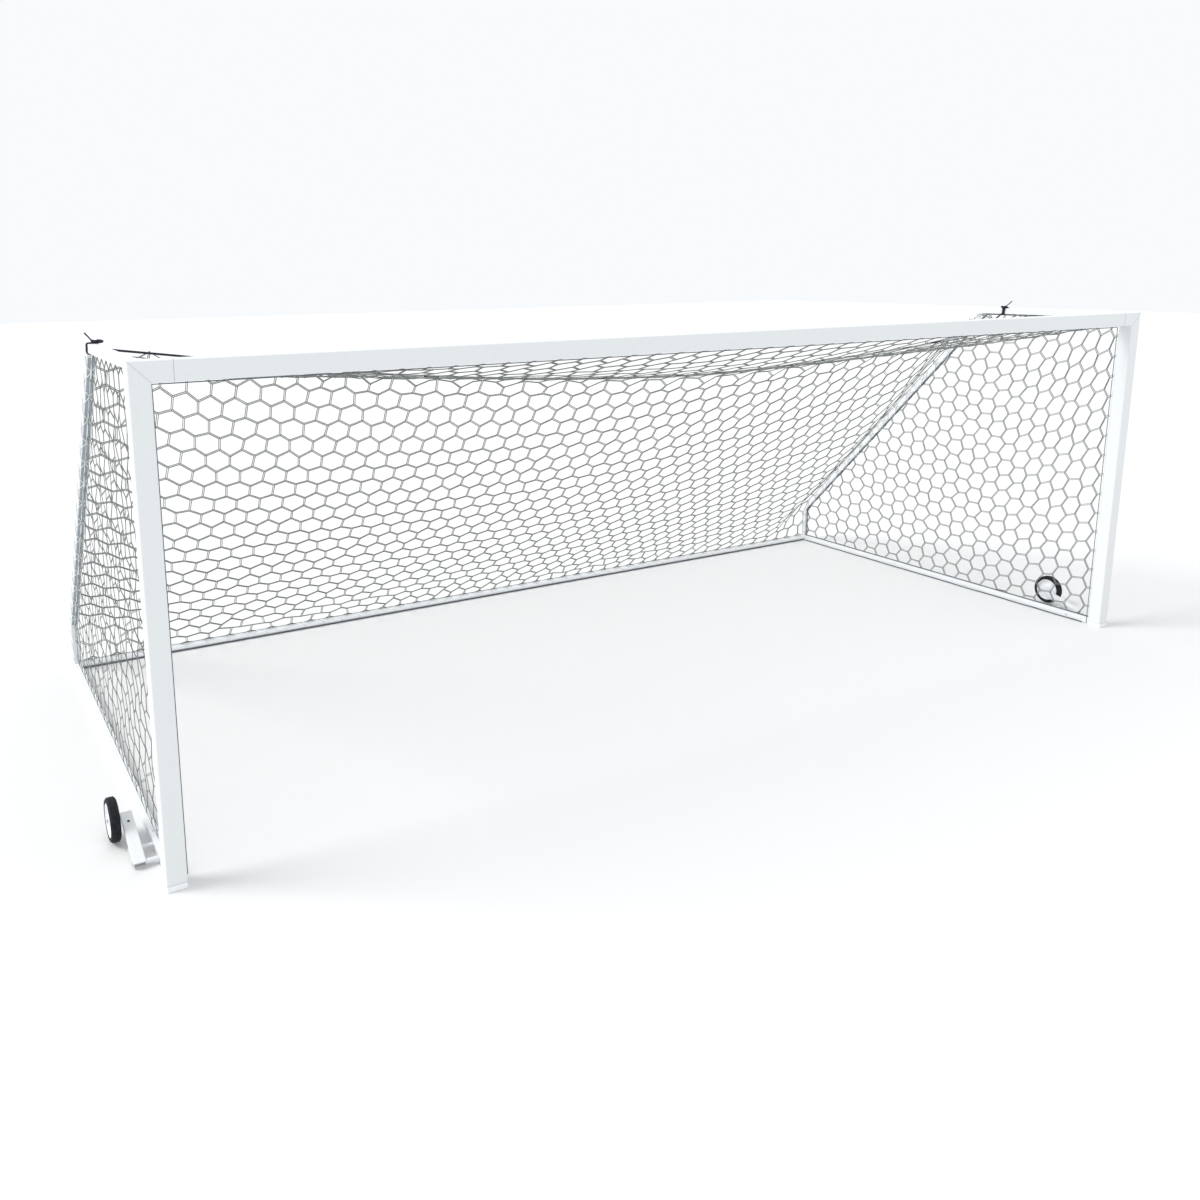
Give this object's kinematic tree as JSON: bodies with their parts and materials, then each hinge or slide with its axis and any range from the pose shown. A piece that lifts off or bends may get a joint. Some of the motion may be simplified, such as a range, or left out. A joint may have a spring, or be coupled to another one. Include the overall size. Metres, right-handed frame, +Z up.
{
  "type": "soccer goal",
  "caption": "Full-size portable soccer goal: square-tube mouth, open side frames and rear ground bar, netting hung on a support rope, and a swing-over wheel arm at each side",
  "frame": {"origin": "on the ground, in the middle of the overall width and depth", "axes": "+X along the goal line to the right as seen from in front, +Y from the mouth to the back of the net, +Z up"},
  "size_m": [7.8546, 3.33, 2.5483],
  "materials": {
    "white_powder_coat": "satin white powder coat",
    "zinc_plate": "bright zinc plate",
    "white_plastic": "moulded white plastic",
    "black_tyre": "solid black rubber",
    "white_net": "white twine netting",
    "black_rope": "braided black cord"
  },
  "bodies": {
    "goal_frame": {"crossbar": "white_powder_coat", "rear_ground_bar": "white_powder_coat", "roof_net": "white_net", "back_net": "white_net", "support_rope": "black_rope", "left_upright": "white_powder_coat", "left_crossbar_stub": "white_powder_coat", "left_top_depth_bar": "white_powder_coat", "left_backstay": "white_powder_coat", "left_rear_riser": "white_powder_coat", "left_side_ground_bar": "white_powder_coat", "left_arm_rest_bar": "white_powder_coat", "left_pivot_sleeve": "white_powder_coat", "left_crossbar_splice": "zinc_plate", "left_splice_bolt_outer": "zinc_plate", "left_splice_bolt_inner": "zinc_plate", "left_top_spigot": "zinc_plate", "left_top_bolt": "zinc_plate", "left_ground_spigot": "zinc_plate", "left_ground_bolt": "zinc_plate", "left_rear_spigot": "zinc_plate", "left_rear_bolt": "zinc_plate", "left_pivot_bolt": "zinc_plate", "left_post_foot": "white_plastic", "left_side_net": "white_net", "left_rope_tie": "black_rope", "right_upright": "white_powder_coat", "right_crossbar_stub": "white_powder_coat", "right_top_depth_bar": "white_powder_coat", "right_backstay": "white_powder_coat", "right_rear_riser": "white_powder_coat", "right_side_ground_bar": "white_powder_coat", "right_arm_rest_bar": "white_powder_coat", "right_pivot_sleeve": "white_powder_coat", "right_crossbar_splice": "zinc_plate", "right_splice_bolt_outer": "zinc_plate", "right_splice_bolt_inner": "zinc_plate", "right_top_spigot": "zinc_plate", "right_top_bolt": "zinc_plate", "right_ground_spigot": "zinc_plate", "right_ground_bolt": "zinc_plate", "right_rear_spigot": "zinc_plate", "right_rear_bolt": "zinc_plate", "right_pivot_bolt": "zinc_plate", "right_post_foot": "white_plastic", "right_side_net": "white_net", "right_rope_tie": "black_rope"},
    "left_wheel_arm": {"left_wheel_arm": "white_powder_coat", "left_axle_bolt": "zinc_plate"},
    "left_wheel": {"left_wheel_rim": "white_plastic", "left_wheel_bushing": "zinc_plate", "left_tyre": "black_tyre"},
    "right_wheel_arm": {"right_wheel_arm": "white_powder_coat", "right_axle_bolt": "zinc_plate"},
    "right_wheel": {"right_wheel_rim": "white_plastic", "right_wheel_bushing": "zinc_plate", "right_tyre": "black_tyre"}
  },
  "joints": [
    {"name": "left_arm_swing", "type": "hinge", "parent": "goal_frame", "child": "left_wheel_arm", "pos_m": [-3.828, -1.365, 0.0254], "axis": [1, 0, 0], "range_deg": [0, 145.7]},
    {"name": "left_wheel_spin", "type": "hinge", "parent": "left_wheel_arm", "child": "left_wheel", "pos_m": [-3.897, -1.052, 0.1275], "axis": [1, 0, 0], "continuous": true},
    {"name": "right_arm_swing", "type": "hinge", "parent": "goal_frame", "child": "right_wheel_arm", "pos_m": [3.828, -1.365, 0.0254], "axis": [1, 0, 0], "range_deg": [0, 145.7]},
    {"name": "right_wheel_spin", "type": "hinge", "parent": "right_wheel_arm", "child": "right_wheel", "pos_m": [3.897, -1.052, 0.1275], "axis": [1, 0, 0], "continuous": true}
  ]
}
